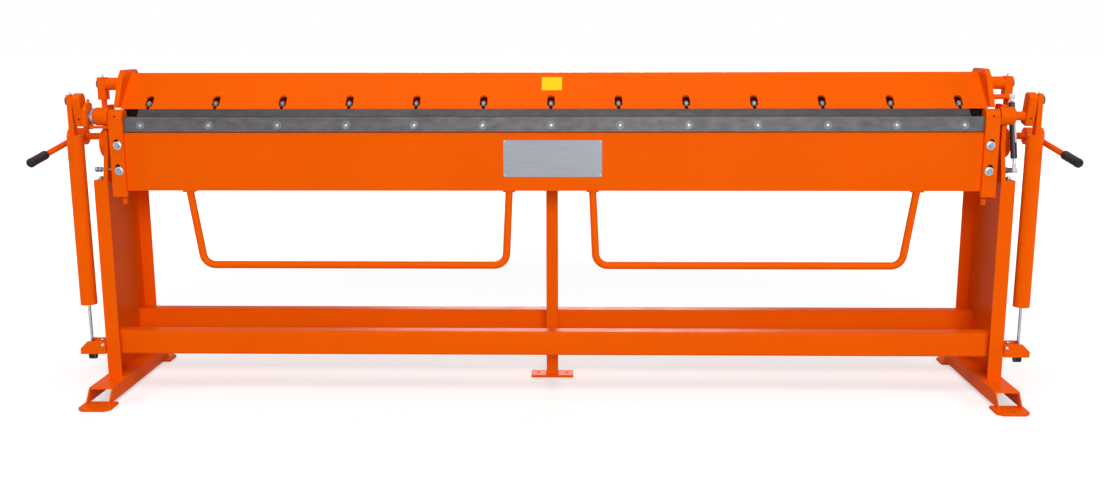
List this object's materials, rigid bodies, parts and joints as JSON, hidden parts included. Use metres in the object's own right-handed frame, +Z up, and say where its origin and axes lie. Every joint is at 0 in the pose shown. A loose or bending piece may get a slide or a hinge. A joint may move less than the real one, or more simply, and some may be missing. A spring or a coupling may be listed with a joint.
{
  "type": "manual sheet metal brake",
  "caption": "Floor-standing hand-operated sheet metal folding brake with a hinged apron, a lever-clamped top beam and spring counterbalances on channel legs.",
  "frame": {"origin": "on the floor at the middle of the four anchor pads", "axes": "+X along the machine to the operator's right, +Y away from the operator, +Z up"},
  "size_m": [3.6204, 0.7, 1.183],
  "materials": {
    "orange_paint": "semi-gloss orange paint",
    "tool_steel": "ground dark tool steel",
    "bright_steel": "zinc-plated",
    "grip_plastic": "black moulded plastic",
    "gas_black": "black painted tube"
  },
  "bodies": {
    "frame": {"bearing_ring": "bright_steel", "bed_blade": "tool_steel", "bed_front": "orange_paint", "bed_rear": "orange_paint", "bed_top": "orange_paint", "centre_foot": "orange_paint", "centre_post": "orange_paint", "foot_left": "orange_paint", "foot_plates": "orange_paint", "foot_right": "orange_paint", "front_rail": "orange_paint", "leg_caps": "orange_paint", "leg_left": "orange_paint", "leg_right": "orange_paint", "rear_rail": "orange_paint", "rod_brackets": "orange_paint", "side_plate_left": "orange_paint", "side_plate_right": "orange_paint", "stop_disc": "orange_paint"},
    "folding_beam": {"apron_plate": "orange_paint", "balance_arms": "orange_paint", "bending_strip": "tool_steel", "end_bar_left": "orange_paint", "end_bar_right": "orange_paint", "handle_left": "orange_paint", "handle_right": "orange_paint", "pivot_shafts": "orange_paint", "stop_rod": "orange_paint"},
    "clamping_beam": {"clamp_back": "orange_paint", "clamp_blade": "tool_steel", "clamp_end_left": "orange_paint", "clamp_end_right": "orange_paint", "clamp_front_plate": "orange_paint", "lift_boss_left": "orange_paint", "lift_boss_right": "orange_paint"},
    "clamp_drive": {"cam_shaft": "orange_paint", "clamp_cams": "orange_paint", "clamp_levers": "orange_paint", "lever_grips": "grip_plastic"},
    "clamp_link_left": {"clamp_link_left": "orange_paint"},
    "clamp_link_right": {"clamp_link_right": "orange_paint"},
    "spring_tube_left": {"spring_tube_left": "orange_paint"},
    "spring_tube_right": {"spring_tube_right": "orange_paint"},
    "spring_rod_left": {"spring_rod_left": "bright_steel"},
    "spring_rod_right": {"spring_rod_right": "bright_steel"},
    "gas_cylinder": {"gas_cylinder": "gas_black"},
    "gas_rod": {"gas_rod": "bright_steel"}
  },
  "joints": [
    {"name": "fold", "type": "hinge", "parent": "frame", "child": "folding_beam", "pos_m": [0, -0.1035, 1.022], "axis": [-1, 0, 0], "range_deg": [0, 130]},
    {"name": "clamp", "type": "hinge", "parent": "frame", "child": "clamping_beam", "pos_m": [0, 0.2165, 1.05], "axis": [-1, 0, 0], "range_deg": [0, 6.65]},
    {"name": "lever_turn", "type": "hinge", "parent": "frame", "child": "clamp_drive", "pos_m": [0, 0.0215, 0.94], "axis": [-1, 0, 0], "range_deg": [0, 90.02]},
    {"name": "link_swing_left", "type": "hinge", "parent": "clamping_beam", "child": "clamp_link_left", "pos_m": [-1.647, 0.0215, 1.132], "axis": [-1, 0, 0], "range_deg": [0, 2.87]},
    {"name": "tube_swing_left", "type": "hinge", "parent": "folding_beam", "child": "spring_tube_left", "pos_m": [-1.704, -0.11704, 1.0784], "axis": [-1, 0, 0], "range_deg": [-124.66, 0]},
    {"name": "rod_swing_left", "type": "hinge", "parent": "frame", "child": "spring_rod_left", "pos_m": [-1.704, -0.1085, 0.1372], "axis": [-1, 0, 0], "range_deg": [0, 5.38]},
    {"name": "link_swing_right", "type": "hinge", "parent": "clamping_beam", "child": "clamp_link_right", "pos_m": [1.647, 0.0215, 1.132], "axis": [-1, 0, 0], "range_deg": [0, 2.87]},
    {"name": "tube_swing_right", "type": "hinge", "parent": "folding_beam", "child": "spring_tube_right", "pos_m": [1.704, -0.11704, 1.0784], "axis": [-1, 0, 0], "range_deg": [-124.66, 0]},
    {"name": "rod_swing_right", "type": "hinge", "parent": "frame", "child": "spring_rod_right", "pos_m": [1.704, -0.1085, 0.1372], "axis": [-1, 0, 0], "range_deg": [0, 5.38]},
    {"name": "gas_swing", "type": "hinge", "parent": "clamping_beam", "child": "gas_cylinder", "pos_m": [1.645, -0.031, 1.085], "axis": [-1, 0, 0], "range_deg": [-7.18, 0]},
    {"name": "gas_rod_swing", "type": "hinge", "parent": "frame", "child": "gas_rod", "pos_m": [1.645, -0.107, 0.83], "axis": [-1, 0, 0], "range_deg": [-0.5326, 0]}
  ],
  "couplings": [
    {"joint": "lever_turn", "follows": "clamp", "ratio": 13.537},
    {"joint": "link_swing_left", "follows": "clamp", "ratio": 0.42847},
    {"joint": "tube_swing_left", "follows": "fold", "ratio": -0.9588},
    {"joint": "rod_swing_left", "follows": "fold", "ratio": 0.0412},
    {"joint": "link_swing_right", "follows": "clamp", "ratio": 0.42847},
    {"joint": "tube_swing_right", "follows": "fold", "ratio": -0.9588},
    {"joint": "rod_swing_right", "follows": "fold", "ratio": 0.0412},
    {"joint": "gas_swing", "follows": "clamp", "ratio": -1.0771},
    {"joint": "gas_rod_swing", "follows": "clamp", "ratio": -0.077098}
  ]
}
